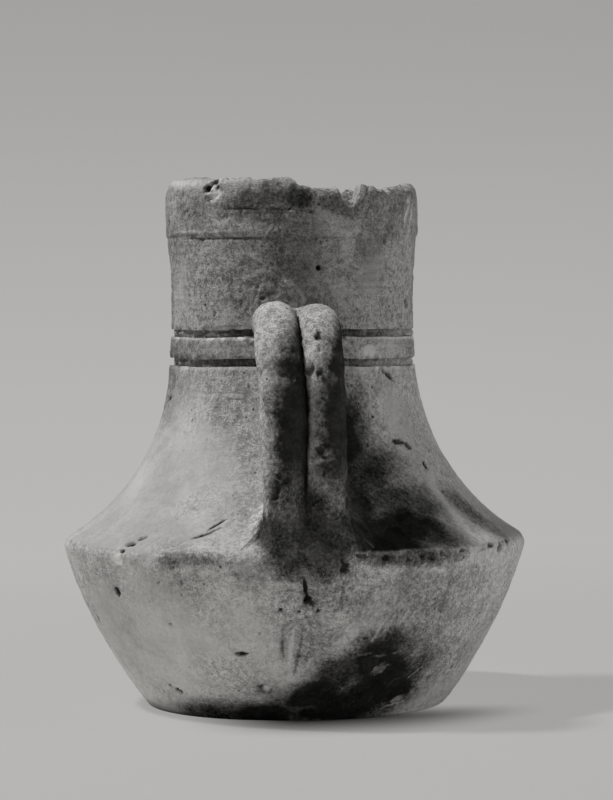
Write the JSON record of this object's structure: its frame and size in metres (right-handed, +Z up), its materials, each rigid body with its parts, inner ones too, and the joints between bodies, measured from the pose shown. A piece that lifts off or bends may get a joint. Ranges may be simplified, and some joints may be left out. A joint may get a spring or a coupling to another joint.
{
  "type": "hydria jar",
  "caption": "Wide-necked clay water jar with a sharp shoulder edge, grooved neck, broken lip and a vertical twin-roll handle from neck to shoulder.",
  "frame": {"origin": "centre of the flat underside, on the jar's axis", "axes": "+Z up along the jar's axis, -Y towards the handle, +X to the right when facing the handle"},
  "size_m": [0.265, 0.2719, 0.3],
  "materials": {
    "bowl_clay": "unglazed fired clay, matte, smoke-stained on one side",
    "shoulder_clay": "unglazed fired clay, matte, smoothed",
    "neck_clay": "unglazed fired clay, matte, turned and mottled dark",
    "handle_clay": "unglazed fired clay, matte, hand-rolled and pitted"
  },
  "bodies": {
    "root": {"base_disc": "bowl_clay", "lower_bowl": "bowl_clay", "seam_coil": "bowl_clay", "shoulder_cone": "shoulder_clay", "neck_tube": "neck_clay", "rim_coil": "neck_clay", "handle_roll_left": "handle_clay", "handle_roll_right": "handle_clay", "handle_top_luting": "handle_clay", "handle_foot_luting": "handle_clay"}
  },
  "joints": []
}
